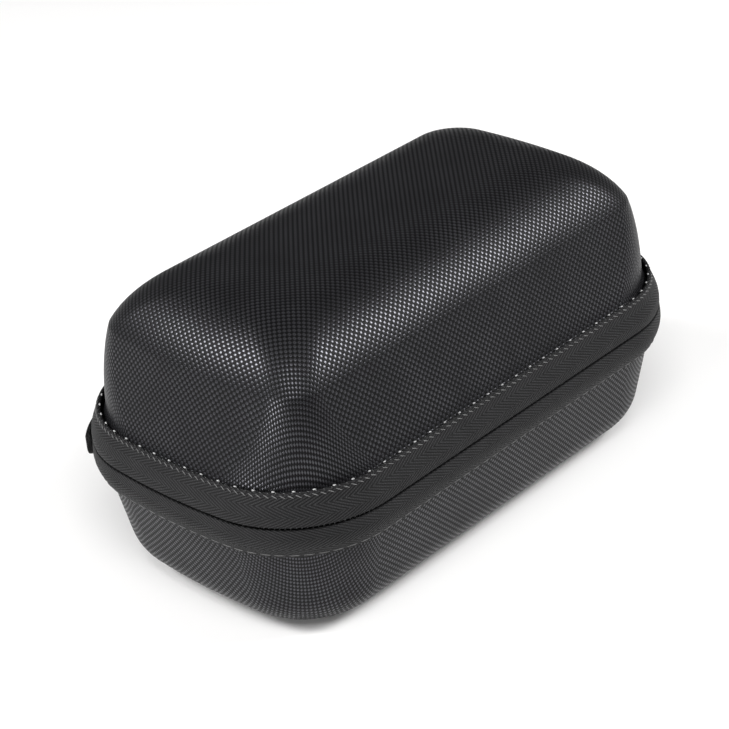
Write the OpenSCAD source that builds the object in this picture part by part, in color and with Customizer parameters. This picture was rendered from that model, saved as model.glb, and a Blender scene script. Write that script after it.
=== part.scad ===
// Zipped hard carrying case for a pocket golf launch monitor.
// Two thermoformed foam shells, faced inside and out, meet at a coil zip and share a fabric hinge at the back.
// Origin: middle of the underside. +X runs along the case, +Y towards the hinge, +Z up. Millimetres.

/* [Case] */
// Length over the zip band
case_l = 150; // [140:1:170]
// Width over the zip band
case_w = 86; // [80:1:96]
// Height of the zip seam above the table
seam_z = 34.5; // [30:0.5:40]
// Radius of the upright corners at the seam
corner_r = 28; // [24:1:32]
// Radius of the bowed short ends
end_r = 180; // [150:5:240]

/* [Lid shape] */
// Inset of the lid wall just above the zip tape
lid_foot_in = 4.2; // [4:0.1:5]
// Inset of the lid wall at the crease where the shoulder starts
shoulder_in = 10.5; // [9.8:0.1:10.8]
// Height of that crease above the seam
shoulder_z = 28.6; // [27.6:0.1:29]
// Angle from upright at which the shoulder leaves the crease
crease_turn = 26; // [24:1:28]
// Radius of the arched shoulder
shoulder_r = 22.5; // [21:0.5:23]
// Corner radius of the lid at the crease
shoulder_corner_r = 9.5; // [8:0.5:11]
// Rise of the crowned top above the shoulder's inner edge
crown_rise = 0.4; // [0.3:0.1:0.6]

/* [Base shape] */
// Inset of the base wall just below the zip tape
base_foot_in = 3; // [2.7:0.1:3.4]
// Inset of the base wall where the bottom curve starts
heel_in = 6.4; // [5.8:0.1:7]
// Depth below the seam where the bottom curve starts
heel_drop = 24.8; // [23:0.2:26]

/* [Walls] */
// Thickness of the outer cover fabric
cover_t = 0.8; // [0.6:0.1:1]
// Thickness of the foam shell
foam_t = 3.4; // [3:0.1:4]
// Thickness of the lining fabric
lining_t = 0.6; // [0.5:0.1:0.8]

/* [Zip] */
// Thickness of the zip tape
tape_t = 0.8; // [0.6:0.1:0.9]
// Height of each tape from the seam
tape_h = 8.2; // [8:0.1:9]
// Half of the gap between the two tapes
seam_gap = 0.3; // [0.2:0.05:0.4]
// Height of each coil
coil_h = 1.55; // [1.3:0.05:1.6]
// Angle round the back corner where the coils end
coil_end = 70; // [60:1:75]
// Length of a slider along the zip
slider_l = 9.6; // [9:0.1:10]
// Half width of a slider
slider_half = 4.2; // [4:0.1:4.4]
// Angle of the front slider along the end's arc
front_slider_at = 2.86; // [2.86:0.01:3]
// Angle of the rear slider round the back corner
rear_slider_at = 9; // [9:0.5:10]
// Radius of the bar that a pull tab hangs on
bar_r = 0.8; // [0.7:0.05:0.9]
// Clearance round that bar
bar_gap = 0.1; // [0.05:0.01:0.1]

/* [Hinge] */
// Thickness of the hinge strip
strip_t = 1.2; // [1:0.1:1.4]
// Angle round the back corner where the strip's end flaps start
flap_from = 44; // [42:1:50]

/* [Inside] */
// Height of the foam insert's top above the table
insert_top = 30; // [26:0.5:30]
// Length of the monitor's cavity
cavity_l = 90; // [80:1:91]
// Width of the monitor's cavity
cavity_w = 54; // [50:1:55]
// Height of the cavity floor above the table
cavity_z = 10; // [9.5:0.5:12]
// Height of the net pocket above the seam
pocket_z = 9.4; // [9:0.2:12]
// Front edge of the net pocket
pocket_front = -18; // [-20:1:-10]

/* [Hidden] */
$fn = 72;

half_l = case_l / 2;
half_w = case_w / 2;
// Centre of the back right corner's arc at the seam, and the angle where that arc meets the end's arc
corner_y = half_w - corner_r;
corner_x = half_l - end_r + sqrt(pow(end_r - corner_r, 2) - corner_y * corner_y);
end_angle = asin(corner_y / (end_r - corner_r));

rim_z = 5;
rim_corner_r = corner_r - 3;
lid_foot_z = 8.6;
lid_lean = atan((shoulder_in - lid_foot_in) / (shoulder_z - lid_foot_z));
crown_slope = 4;
crown_corner_r = 12;
shoulder_steps = 5;
base_lean = atan((heel_in - base_foot_in) / (heel_drop - tape_h));
heel_r = (seam_z - heel_drop) / (1 - sin(base_lean));
wall_t = cover_t + foam_t + lining_t;
smallest_r = 3;

// How far the hinge strip's outer face stands outside the seam's outline
strip_out = strip_t + 0.3;

fabric_black = [0.09, 0.09, 0.10];
tape_black = [0.12, 0.12, 0.13];
foam_grey = [0.20, 0.20, 0.21];
lining_grey = [0.15, 0.15, 0.16];
thread_grey = [0.45, 0.45, 0.47];
metal_grey = [0.30, 0.30, 0.32];
rubber_black = [0.05, 0.05, 0.05];

// ---- outlines -------------------------------------------------------------------------------------

END_STEPS = 1;
CORNER_STEPS = 6;
SIDE_STEPS = 2;

// One quarter of the case's outline, inset from the seam, with its own corner radius
function quarter(inset, r) =
    let (b = half_w - inset, big = end_r - inset, yc = b - r,
         xc = half_l - end_r + sqrt(pow(big - r, 2) - yc * yc),
         lean = asin(yc / (big - r)))
    concat(
        [for (k = [0:END_STEPS - 1])
            let (t = lean * k / END_STEPS)
            [half_l - end_r + big * cos(t), big * sin(t)]],
        [for (k = [0:CORNER_STEPS])
            let (t = lean + (90 - lean) * k / CORNER_STEPS)
            [xc + r * cos(t), yc + r * sin(t)]],
        [for (k = [1:SIDE_STEPS])
            [xc * (1 - k / SIDE_STEPS), b]]);

function backwards(list) = [for (k = [len(list) - 1:-1:0]) list[k]];
function part_of(list, from, to) = [for (k = [from:to]) list[k]];
function flipped(list, sx, sy) = [for (p = list) [p[0] * sx, p[1] * sy]];

// The whole outline, anticlockwise from the middle of the right end
function outline(inset, r) =
    let (q = quarter(inset, r), n = len(q))
    concat(q,
           part_of(backwards(flipped(q, -1, 1)), 1, n - 1),
           part_of(flipped(q, -1, -1), 1, n - 1),
           part_of(backwards(flipped(q, 1, -1)), 1, n - 2));

// A level is [inset, height, corner radius]; its ring is the outline lifted to that height
function ring(level) = [for (p = outline(level[0], level[2])) [p[0], p[1], level[1]]];

// ---- skins through rings --------------------------------------------------------------------------

function joined(lists) = [for (l = lists) for (p = l) p];
function wall_faces(rings, n, start, out) =
    [for (i = [0:rings - 2]) for (k = [0:n - 1])
        let (a = start + i * n + k, b = start + i * n + (k + 1) % n)
        out ? [a, b, b + n, a + n] : [a + n, b + n, b, a]];

// A cup: outer levels from the rim to the closed end, inner levels the same way. up = true closes at the top.
module cup(outer, inner, up) {
    points = joined([for (l = concat(outer, inner)) ring(l)]);
    n = len(ring(outer[0]));
    m = len(outer);
    mi = len(inner);
    faces = concat(
        wall_faces(m, n, 0, !up),
        wall_faces(mi, n, m * n, up),
        [for (k = [0:n - 1])
            let (a = k, b = (k + 1) % n)
            up ? [b, m * n + b, m * n + a, a] : [a, m * n + a, m * n + b, b]],
        [up ? [for (k = [n - 1:-1:0]) (m - 1) * n + k] : [for (k = [0:n - 1]) (m - 1) * n + k]],
        [up ? [for (k = [0:n - 1]) (m + mi - 1) * n + k] : [for (k = [n - 1:-1:0]) (m + mi - 1) * n + k]]);
    polyhedron(points, faces, convexity = 6);
}

// A band between two sets of levels, open at both ends
module band(outer, inner) {
    points = joined([for (l = concat(outer, inner)) ring(l)]);
    n = len(ring(outer[0]));
    m = len(outer);
    faces = concat(
        wall_faces(m, n, 0, false),
        wall_faces(m, n, m * n, true),
        [for (k = [0:n - 1])
            let (a = k, b = (k + 1) % n)
            [b, m * n + b, m * n + a, a]],
        [for (k = [0:n - 1])
            let (a = (m - 1) * n + k, b = (m - 1) * n + (k + 1) % n)
            [a, m * n + a, m * n + b, b]]);
    polyhedron(points, faces, convexity = 6);
}

// A solid through the levels from bottom to top
module plug(levels) {
    n = len(ring(levels[0]));
    m = len(levels);
    faces = concat(
        wall_faces(m, n, 0, false),
        [[for (k = [0:n - 1]) k]],
        [[for (k = [n - 1:-1:0]) (m - 1) * n + k]]);
    polyhedron(joined([for (l = levels) ring(l)]), faces, convexity = 4);
}

// ---- lid and base surfaces ------------------------------------------------------------------------

// Corner radius of the lid at a height above the seam, for a skin at a depth under the outer face
function lid_r(z, depth) =
    rim_corner_r + (shoulder_corner_r - rim_corner_r) * (z - lid_foot_z) / (shoulder_z - lid_foot_z) - depth;

function lid_wall_in(z) = lid_foot_in + (z - lid_foot_z) * tan(lid_lean);

// Lid levels at a depth under the outer face; flange = true follows the outer face out over the rim
function lid_levels(depth, flange) =
    let (cu = shoulder_in + shoulder_r * cos(crease_turn), cz = shoulder_z - shoulder_r * sin(crease_turn),
         r = shoulder_r - depth, last = 90 - crown_slope,
         u1 = cu - r * cos(last), z1 = cz + r * sin(last), span = half_w - u1,
         top_r = min(crown_corner_r, span - 0.5))
    concat(
        flange
            ? [[2.1 + depth, seam_z + rim_z, lid_r(rim_z, depth)],
               [3.1 + depth, seam_z + 6.8, lid_r(6.8, depth)],
               [lid_foot_in + depth, seam_z + lid_foot_z, lid_r(lid_foot_z, depth)]]
            : [for (z = [rim_z, 6.8, lid_foot_z]) [lid_wall_in(z) + depth, seam_z + z, lid_r(z, depth)]],
        [for (k = [0:shoulder_steps])
            let (t = crease_turn + (last - crease_turn) * k / shoulder_steps)
            [cu - r * cos(t), seam_z + cz + r * sin(t),
             max(shoulder_corner_r + (top_r - shoulder_corner_r) * k / shoulder_steps - depth, smallest_r)]],
        [for (k = [1:2])
            let (u = u1 + span * k / 3.5)
            [u, seam_z + z1 + crown_rise * (1 - pow((half_w - u) / span, 2)),
             max(min(top_r - 3 * k, half_w - u - 1) - depth, smallest_r)]]);

function base_wall_in(z) = base_foot_in + (-z - tape_h) * tan(base_lean);

// Base levels at a depth under the outer face, from the rim down
function base_levels(depth) =
    let (cu = heel_in + heel_r * cos(base_lean), cz = -heel_drop + heel_r * sin(base_lean), r = heel_r - depth)
    concat(
        [for (z = [-rim_z, -tape_h]) [base_wall_in(z) + depth, seam_z + z, rim_corner_r - depth]],
        [for (k = [0:5])
            let (t = base_lean + (90 - base_lean) * k / 5, u = cu - r * cos(t))
            [u, seam_z + cz - r * sin(t), max(corner_r - u, smallest_r)]]);

// ---- strips round the case -------------------------------------------------------------------------

// A level of a strip: outwards is the distance outside the seam's outline, z is the height above the seam
function strip_level(outwards, z) = [-outwards, seam_z + z, corner_r + outwards];

// A strip of rectangular section all round the case
module loop(outwards, thick, z, high) {
    band([for (k = [z, z + high]) strip_level(outwards, k)],
         [for (k = [z, z + high]) strip_level(outwards - thick, k)]);
}

// A loop that stops at an angle round the two back corners
module open_loop(outwards, thick, z, high, last) {
    open_x = corner_x + corner_r * cos(last);
    difference() {
        loop(outwards, thick, z, high);
        translate([-open_x, 0, 0]) cube([2 * open_x, case_w, 2 * case_w]);
    }
}

// Plan of a strip along the back side, round the back corners from an angle on
module back_plan(outwards, thick, from) {
    side = concat(arc_of_corner(outwards, from), backwards(flipped(arc_of_corner(outwards, from), -1, 1)));
    inside = concat(arc_of_corner(outwards - thick, from),
                    backwards(flipped(arc_of_corner(outwards - thick, from), -1, 1)));
    polygon(concat(side, backwards(inside)));
}

BACK_STEPS = 6;

function arc_of_corner(outwards, from) =
    [for (k = [0:BACK_STEPS])
        let (t = from + (90 - from) * k / BACK_STEPS, r = corner_r + outwards)
        [corner_x + r * cos(t), corner_y + r * sin(t)]];

// A straight bar along the back side
module back_bar(half_length, outwards, thick, z, high) {
    translate([-half_length, half_w + outwards - thick, seam_z + z]) cube([2 * half_length, thick, high]);
}

// ---- lid ------------------------------------------------------------------------------------------

module lid_cover() {
    color(fabric_black) cup(lid_levels(0, true), lid_levels(cover_t, true), true);
}

module lid_foam_shell() {
    color(foam_grey) cup(lid_levels(cover_t, true), lid_levels(cover_t + foam_t, false), true);
}

module lid_lining() {
    color(lining_grey) cup(lid_levels(cover_t + foam_t, false), lid_levels(wall_t, false), true);
}

binding_t = 0.8;
binding_gap = 0.06;

// Levels of a strip lying on the inside of the lid's lining
function lid_inside(from, to, depth) =
    [for (z = [from, to]) [lid_wall_in(z) + depth, seam_z + z, lid_r(z, depth)]];

module lid_edge_binding() {
    color(tape_black)
        band(lid_inside(rim_z, lid_foot_z, wall_t + binding_gap),
             lid_inside(rim_z, lid_foot_z, wall_t + binding_gap + binding_t));
}

// Outer face of each tape as [outwards, height] from the seam to its sewn edge
lid_tape_line = [[-0.3, seam_gap], [-0.3, 2], [-0.8, 4], [-2.7, tape_h]];
base_tape_line = [[-0.3, seam_gap], [0, 3.6], [-0.6, 6], [-1.75, tape_h]];

module lid_zip_tape() {
    color(tape_black)
        band([for (p = lid_tape_line) strip_level(p[0], p[1])],
             [for (p = lid_tape_line) strip_level(p[0] - tape_t, p[1])]);
}

coil_out = 0.3 + tape_t + 0.05;
coil_depth = 1.5;
coil_z = 0.35;

module lid_zip_coil() {
    color(tape_black) open_loop(-coil_out, coil_depth, coil_z, coil_h, coil_end);
}

thread_w = 0.5;
thread_t = 0.4;
thread_z = 7.2;
lid_thread_out = -1.7;
base_thread_out = -0.78;
strip_thread_out = strip_out + thread_t + 0.02;

module lid_tape_stitching() {
    color(thread_grey) {
        open_loop(lid_thread_out, thread_w, thread_z, thread_w, 88);
        back_bar(corner_x - 4, strip_thread_out, thread_t, 5.4, thread_w);
    }
}

// ---- net pocket in the lid ------------------------------------------------------------------------

pocket_t = 1;
elastic_w = 6;
elastic_t = 1.8;
elastic_end = 16;
pocket_hem = 0.6;
pocket_hem_h = 2.4;
pocket_hem_end = 13;
pocket_in = lid_wall_in(pocket_z) + wall_t + 0.2;
pocket_r = lid_r(pocket_z, wall_t);

module pocket_outline(extra) {
    intersection() {
        polygon(outline(pocket_in + extra, pocket_r - extra));
        translate([-half_l, pocket_front]) square([case_l, case_w]);
    }
}

module net_pocket() {
    color(lining_grey)
        translate([0, 0, seam_z + pocket_z]) linear_extrude(pocket_t) pocket_outline(2 * pocket_hem);
}

module pocket_binding() {
    color(tape_black)
        translate([0, 0, seam_z + pocket_z - pocket_hem])
            linear_extrude(pocket_hem_h)
                difference() {
                    pocket_outline(pocket_hem);
                    pocket_outline(2 * pocket_hem);
                    translate([pocket_hem_end - half_l, pocket_front - 1])
                        square([case_l - 2 * pocket_hem_end, 4]);
                }
}

module pocket_elastic() {
    color(tape_black)
        translate([elastic_end - half_l, pocket_front - elastic_w, seam_z + pocket_z - 0.4])
            cube([case_l - 2 * elastic_end, elastic_w - 0.05, elastic_t]);
}

// ---- base -----------------------------------------------------------------------------------------

module base_cover() {
    color(fabric_black) cup(base_levels(0), base_levels(cover_t), false);
}

module base_foam_shell() {
    color(foam_grey) cup(base_levels(cover_t), base_levels(cover_t + foam_t), false);
}

module base_lining() {
    color(lining_grey) cup(base_levels(cover_t + foam_t), base_levels(wall_t), false);
}

module base_edge_binding() {
    levels = base_levels(wall_t + binding_gap);
    color(tape_black)
        band([for (k = [1, 0]) levels[k]],
             [for (k = [1, 0]) [levels[k][0] + binding_t, levels[k][1], levels[k][2] - binding_t]]);
}

module base_zip_tape() {
    color(tape_black)
        band([for (p = backwards(base_tape_line)) strip_level(p[0], -p[1])],
             [for (p = backwards(base_tape_line)) strip_level(p[0] - tape_t, -p[1])]);
}

module base_zip_coil() {
    color(tape_black) open_loop(-coil_out, coil_depth, -coil_z - coil_h, coil_h, coil_end);
}

module base_tape_stitching() {
    color(thread_grey) {
        open_loop(base_thread_out, thread_t, -thread_z - thread_w, thread_w, flap_from - 1);
        back_bar(corner_x - 2, strip_thread_out, thread_t, -6.6, thread_w);
    }
}

// ---- foam insert in the base ----------------------------------------------------------------------

insert_gap = 0.3;
facing_t = 0.8;
slot_l = 22;
slot_w = 46;
cavity_wall = 6;
cavity_x = -58;
cavity_r = 6;

// Levels of the insert's side, just inside the lining
function insert_levels(top) =
    let (under = base_levels(wall_t + insert_gap), below = [for (l = backwards(under)) if (l[1] < top - 4) l],
         u = base_wall_in(top - seam_z) + wall_t + insert_gap + 0.9)
    concat([for (l = below) [l[0] + 0.3, l[1], l[2]]], [[u, top, rim_corner_r - wall_t - insert_gap]]);

// A rectangle with rounded corners, its left edge on x = 0 and its middle on y = 0
module pocket_plan(long, wide) {
    translate([cavity_r, cavity_r - wide / 2])
        offset(r = cavity_r, $fn = 24) square([long - 2 * cavity_r, wide - 2 * cavity_r]);
}

module cavities() {
    translate([cavity_x, 0]) pocket_plan(cavity_l, cavity_w);
    translate([cavity_x + cavity_l + cavity_wall, 0]) pocket_plan(slot_l, slot_w);
}

module foam_insert() {
    color(foam_grey)
        difference() {
            plug(insert_levels(insert_top - facing_t));
            translate([0, 0, cavity_z]) linear_extrude(insert_top) cavities();
        }
}

module insert_facing() {
    top = insert_levels(insert_top - facing_t);
    edge = top[len(top) - 1];
    color(lining_grey)
        translate([0, 0, insert_top - facing_t])
            linear_extrude(facing_t)
                difference() {
                    polygon(outline(edge[0] + 0.3, edge[2]));
                    cavities();
                }
}

// ---- hinge ----------------------------------------------------------------------------------------

strip_top = 7;
flap_drop = 7;

// The strip covers the seam along the back; its end flaps hang on the base side only
module hinge_strip() {
    color(tape_black) {
        translate([0, 0, seam_z - flap_drop])
            linear_extrude(flap_drop) back_plan(strip_out, strip_t, flap_from);
        back_bar(corner_x - 1, strip_out, strip_t, -1, strip_top + 1);
    }
}

inner_strip_out = -1.95;
inner_strip_t = 0.6;
inner_strip_h = 9.2;

module hinge_lining() {
    color(lining_grey)
        back_bar(corner_x - 1, inner_strip_out, inner_strip_t, -inner_strip_h / 2, inner_strip_h);
}

stop_out = 1.5;
stop_t = 1.3;

module zip_end_stops() {
    color(metal_grey)
        for (s = [0, 1])
            mirror([s, 0, 0])
                on_corner(coil_end + 3) translate([-stop_out - stop_t, -1, -2]) cube([stop_t, 2, 1.8]);
}

// ---- sliders and pulls ----------------------------------------------------------------------------

bar_x = 3.6;
post_x = 3.4;
plate_gap = 0.4;
plate_t = 1.1;
inner_plate_x = coil_out + coil_depth + 1;

// Frames on the zip: x outwards, y along the zip towards the back, z up
module on_end(angle) {
    translate([half_l - end_r, 0, seam_z]) rotate([0, 0, angle]) translate([end_r, 0, 0]) children();
}

module on_corner(angle) {
    translate([corner_x, corner_y, seam_z]) rotate([0, 0, angle]) translate([corner_r, 0, 0]) children();
}

// Plate of a slider: wide at its nose, narrower at its tail
module slider_outline() {
    nose = slider_l / 2;
    polygon([[-nose + 1, -slider_half + 0.9], [-nose, -slider_half + 1.8], [-nose, slider_half - 1.8],
             [-nose + 1, slider_half - 0.9], [nose - 3, slider_half], [nose - 1, slider_half],
             [nose, slider_half - 1.2], [nose, -slider_half + 1.2], [nose - 1, -slider_half],
             [nose - 3, -slider_half]]);
}

module slider_plate(x, t) {
    translate([x, 0, 0]) rotate([90, 0, 90]) linear_extrude(t) slider_outline();
}

// A slider with its nose towards +y; flanges on the base side only, so that the lid's coil lifts out
module slider() {
    slider_plate(plate_gap, plate_t);
    slider_plate(-inner_plate_x - 0.9, 0.9);
    translate([-inner_plate_x - 0.01, 1.6, -0.15]) cube([inner_plate_x + plate_gap + 0.02, 2.6, 0.3]);
    translate([-inner_plate_x - 0.01, -2.4, -slider_half + 0.3]) cube([1.4, 5, 0.7]);
    for (s = [-1, 1])
        translate([plate_gap + plate_t - 0.01, s * post_x - 0.6, -0.8])
            cube([bar_x - plate_gap - plate_t + 0.01, 1.2, 1.6]);
    translate([bar_x, 0, 0]) rotate([90, 0, 0]) cylinder(r = bar_r, h = 2 * post_x + 1.2, center = true);
}

eye_w = 4.6;
eye_r = 1.8;
tab_t = 1.4;
tab_l = 12;
grip_top = -6.5;
grip_l = 17;
grip_w = 7.6;
grip_t = 3.2;

module tab_blade() {
    translate([bar_x - tab_t / 2, -eye_w / 2, -tab_l]) cube([tab_t, eye_w, tab_l - eye_r + 0.4]);
}

module pull_tab() {
    difference() {
        union() {
            translate([bar_x, 0, 0]) rotate([90, 0, 0]) cylinder(r = eye_r, h = eye_w, center = true);
            tab_blade();
        }
        translate([bar_x, 0, 0]) rotate([90, 0, 0]) cylinder(r = bar_r + bar_gap, h = eye_w + 2, center = true);
    }
}

module pull_grip() {
    end = grip_w / 2;
    difference() {
        translate([bar_x - grip_t / 2, 0, 0])
            rotate([90, 0, 90])
                linear_extrude(grip_t) {
                    translate([-end, grip_top - grip_l + end]) square([grip_w, grip_l - end - 1]);
                    translate([-end + 1, grip_top - 2]) square([grip_w - 2, 2]);
                    translate([0, grip_top - grip_l + end]) circle(r = end);
                }
        tab_blade();
    }
}

module front_slider() {
    color(metal_grey) on_end(front_slider_at) slider();
}

module front_pull_tab() {
    color(metal_grey) on_end(front_slider_at) pull_tab();
}

module front_pull_grip() {
    color(rubber_black) on_end(front_slider_at) pull_grip();
}

module rear_slider() {
    color(metal_grey) on_corner(rear_slider_at) mirror([0, 1, 0]) slider();
}

module rear_pull_tab() {
    color(metal_grey) on_corner(rear_slider_at) pull_tab();
}

module rear_pull_grip() {
    color(rubber_black) on_corner(rear_slider_at) pull_grip();
}

lid_cover();
lid_foam_shell();
lid_lining();
lid_edge_binding();
lid_zip_tape();
lid_zip_coil();
lid_tape_stitching();
net_pocket();
pocket_elastic();
pocket_binding();
base_cover();
base_foam_shell();
base_lining();
base_edge_binding();
base_zip_tape();
base_zip_coil();
base_tape_stitching();
foam_insert();
insert_facing();
zip_end_stops();
hinge_strip();
hinge_lining();
front_slider();
front_pull_tab();
front_pull_grip();
rear_slider();
rear_pull_tab();
rear_pull_grip();
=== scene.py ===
# %% [markdown]
# # A zipped carrying case for a pocket golf launch monitor
# The case is a clamshell. Two moulded foam shells are faced outside with woven ballistic nylon and
# inside with a brushed knit. A coil zip on two herringbone tapes closes three sides, and a strip of
# the same fabric hinges the back. This lesson dresses the part's CAD frame, piece by piece.

# %% Load the frame
import bisect
import math
import bmesh
import bpy
from mathutils import Matrix, Vector


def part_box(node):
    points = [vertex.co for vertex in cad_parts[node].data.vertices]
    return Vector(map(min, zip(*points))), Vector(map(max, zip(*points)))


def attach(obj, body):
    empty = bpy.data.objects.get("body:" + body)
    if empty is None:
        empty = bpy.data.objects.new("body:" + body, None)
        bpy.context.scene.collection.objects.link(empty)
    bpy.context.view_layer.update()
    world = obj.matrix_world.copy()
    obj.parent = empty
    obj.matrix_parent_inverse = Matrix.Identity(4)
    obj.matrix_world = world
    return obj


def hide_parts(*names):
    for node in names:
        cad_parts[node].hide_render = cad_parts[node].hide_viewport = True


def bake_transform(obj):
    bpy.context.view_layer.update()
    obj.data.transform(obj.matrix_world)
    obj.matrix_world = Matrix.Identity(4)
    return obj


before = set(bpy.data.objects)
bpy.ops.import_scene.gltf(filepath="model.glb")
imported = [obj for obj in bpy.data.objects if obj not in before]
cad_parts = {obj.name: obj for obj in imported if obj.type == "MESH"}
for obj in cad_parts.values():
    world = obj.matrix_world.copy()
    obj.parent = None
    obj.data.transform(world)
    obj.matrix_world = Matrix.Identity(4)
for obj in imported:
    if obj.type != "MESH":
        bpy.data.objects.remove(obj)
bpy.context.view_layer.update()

# %% [markdown]
# ## The measures of the case
# Everything is worked out in millimetres above the seam, and turned to metres at the last moment.
# The seam is where the two tapes meet. An inset is a distance in from the seam's outline, seen from
# above, so one family of outlines gives every surface of the case, inside and out.

# %% Measures
MM = 0.001
HALF_L, HALF_W = 75.0, 43.0
CORNER_R, END_R = 28.0, 180.0
CORNER_X, CORNER_Y = 46.258, HALF_W - CORNER_R
SEAM = round(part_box("lid_zip_tape")[0].z / MM - 0.3, 2)
COVER_T, FOAM_T, LINING_T = 0.8, 3.4, 0.6
WALL_T = COVER_T + FOAM_T + LINING_T
RIM_Z, RIM_R = 5.0, 25.0
LID_FOOT_IN, LID_FOOT_Z = 4.2, 8.6
CREASE_IN, CREASE_Z, CREASE_CORNER = 10.5, 28.6, 9.5
CREASE_TURN, SHOULDER_R = math.radians(26), 22.5
CROWN_CORNER, CROWN_SLOPE, CROWN_RISE = 12.0, math.radians(4), 0.4
BASE_FOOT_IN, BASE_FOOT_Z = 3.0, -8.2
HEEL_IN, HEEL_Z = 6.4, -24.8
LID_LEAN = math.atan((CREASE_IN - LID_FOOT_IN) / (CREASE_Z - LID_FOOT_Z))
BASE_LEAN = math.atan((HEEL_IN - BASE_FOOT_IN) / (BASE_FOOT_Z - HEEL_Z))
HEEL_R = (SEAM + HEEL_Z) / (1 - math.sin(BASE_LEAN))
print("seam", SEAM, "lid leans", round(math.degrees(LID_LEAN), 1), "heel radius", round(HEEL_R, 2))

# %% [markdown]
# ## One outline for everything
# The plan is a rectangle with bowed short ends and round corners. A quarter of it is an arc of the
# end, an arc of the corner and half of the long side. Every outline has the same number of points,
# in the same order, so that outlines at different heights can be joined point to point.

# %% Outlines
END_STEPS, CORNER_STEPS, SIDE_STEPS = 6, 24, 14


def quarter(inset, radius):
    """Points (x, y, normal x, normal y) from the middle of the right end to the middle of the back."""
    wide = HALF_W - inset
    big = END_R - inset
    centre_y = wide - radius
    centre_x = HALF_L - END_R + math.sqrt((big - radius) ** 2 - centre_y ** 2)
    lean = math.asin(centre_y / (big - radius))
    points = []
    for k in range(END_STEPS):
        t = lean * k / END_STEPS
        points.append((HALF_L - END_R + big * math.cos(t), big * math.sin(t), math.cos(t), math.sin(t)))
    for k in range(CORNER_STEPS + 1):
        t = lean + (math.pi / 2 - lean) * k / CORNER_STEPS
        points.append((centre_x + radius * math.cos(t), centre_y + radius * math.sin(t),
                       math.cos(t), math.sin(t)))
    for k in range(1, SIDE_STEPS + 1):
        points.append((centre_x * (1 - k / SIDE_STEPS), wide, 0.0, 1.0))
    return points


def flipped(points, sx, sy):
    return [(x * sx, y * sy, nx * sx, ny * sy) for x, y, nx, ny in points]


def outline(inset, radius):
    """The whole outline, anticlockwise from the middle of the back."""
    q = quarter(inset, radius)
    back = q[::-1]
    return (flipped(back, -1, 1) + flipped(q, -1, -1)[1:] + flipped(back, 1, -1)[1:] + q[1:-1])


def lengths_along(points):
    total, found = 0.0, [0.0]
    for a, b in zip(points, points[1:] + points[:1]):
        total += math.hypot(b[0] - a[0], b[1] - a[1])
        found.append(total)
    return found


seam_line = outline(0, CORNER_R)
seam_marks = lengths_along(seam_line)
SEAM_LENGTH = seam_marks[-1]
print("outline has", len(seam_line), "points; the seam is", round(SEAM_LENGTH, 1), "mm long")

# %% [markdown]
# ## Extruding a shell ring by ring
# A moulded shell is easiest to build as a sculptor would coil a pot: a circle is added, its points
# are set on the first outline, and its edges are extruded again and again, each new ring set on the
# next outline. Each point also remembers where it lay on the flat cloth before moulding, as the
# attribute "cloth" in millimetres, so that the weave can follow the surface.

# %% Rings and lofts
SMOOTH_BELOW = math.radians(40)


def set_ring(piece, ring):
    """Put the selected ring of points in its place. A ring is a list of (x, y, z, cloth u, cloth v)."""
    mesh = bmesh.from_edit_mesh(piece.data)
    column = mesh.verts.layers.int["column"]
    cloth = mesh.verts.layers.float_vector["cloth"]
    for v in mesh.verts:
        if v.select:
            x, y, z, a, b = ring[v[column]]
            v.co = Vector((x, y, z)) * MM
            v[cloth] = (a, b, 0)


def loft(name, rings, ends="closed"):
    """A surface through the rings. Its ends are already closed, or are joined to each other, or capped."""
    bpy.ops.object.select_all(action="DESELECT")
    bpy.ops.mesh.primitive_circle_add(vertices=len(rings[0]), radius=HALF_L * MM)
    piece = bpy.context.object
    piece.name = piece.data.name = name
    bpy.ops.object.mode_set(mode="EDIT")
    mesh = bmesh.from_edit_mesh(piece.data)
    column = mesh.verts.layers.int.new("column")
    mesh.verts.layers.float_vector.new("cloth")
    for k, v in enumerate(mesh.verts):
        v[column] = k
    set_ring(piece, rings[0])
    for ring in rings[1:]:
        bpy.ops.mesh.extrude_edges_move()
        set_ring(piece, ring)
    if ends != "closed":
        bpy.ops.mesh.select_all(action="DESELECT")
        bpy.ops.mesh.select_non_manifold()
        if ends == "joined":
            bpy.ops.mesh.bridge_edge_loops()
        else:
            bpy.ops.mesh.fill_holes(sides=0)
    bpy.ops.mesh.select_all(action="SELECT")
    bpy.ops.mesh.remove_doubles(threshold=0.002 * MM)
    bpy.ops.mesh.normals_make_consistent(inside=False)
    bpy.ops.object.mode_set(mode="OBJECT")
    bpy.ops.object.shade_smooth_by_angle(angle=SMOOTH_BELOW)
    print(name, "has", len(piece.data.polygons), "faces")
    return piece


def rings_of(levels):
    """Rings through levels (inset, height, corner radius), from the middle outwards. Where the surface
    falls away, the cloth reaches further out than the plan does, by the length that the slope adds."""
    spare, before, rings = 0.0, levels[0], []
    for level in levels:
        inset, z, radius = level
        step = inset - before[0]
        spare += math.hypot(step, z - before[1]) - abs(step)
        before = level
        rings.append([(x, y, SEAM + z, x + nx * spare, y + ny * spare)
                      for x, y, nx, ny in outline(inset, radius)])
    return rings


def shell(name, outer, inner, body, node, slot):
    """A cup with a thickness: over its outer face to the rim, and back along its inner face."""
    rings = rings_of(outer) + rings_of(inner)[::-1]
    return settle(loft(name, rings), body, slot, node)


def settle(piece, body, slot, *nodes):
    """Seat a piece: it rides on a body if one is given, and the CAD nodes it stands for are hidden. Its slot
    is not used.
    """
    if body:
        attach(piece, body)
    if nodes:
        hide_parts(*nodes)
    return piece


# %% [markdown]
# ## The lid's three layers
# The lid's wall leans in to a crease, where an arched shoulder starts and runs into a nearly flat
# crown. The upright corners get tighter as they rise to the crease. Cover, foam and lining are the
# same form at three depths, and the rim flares out under the cover, where the zip tape is sewn.

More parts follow.
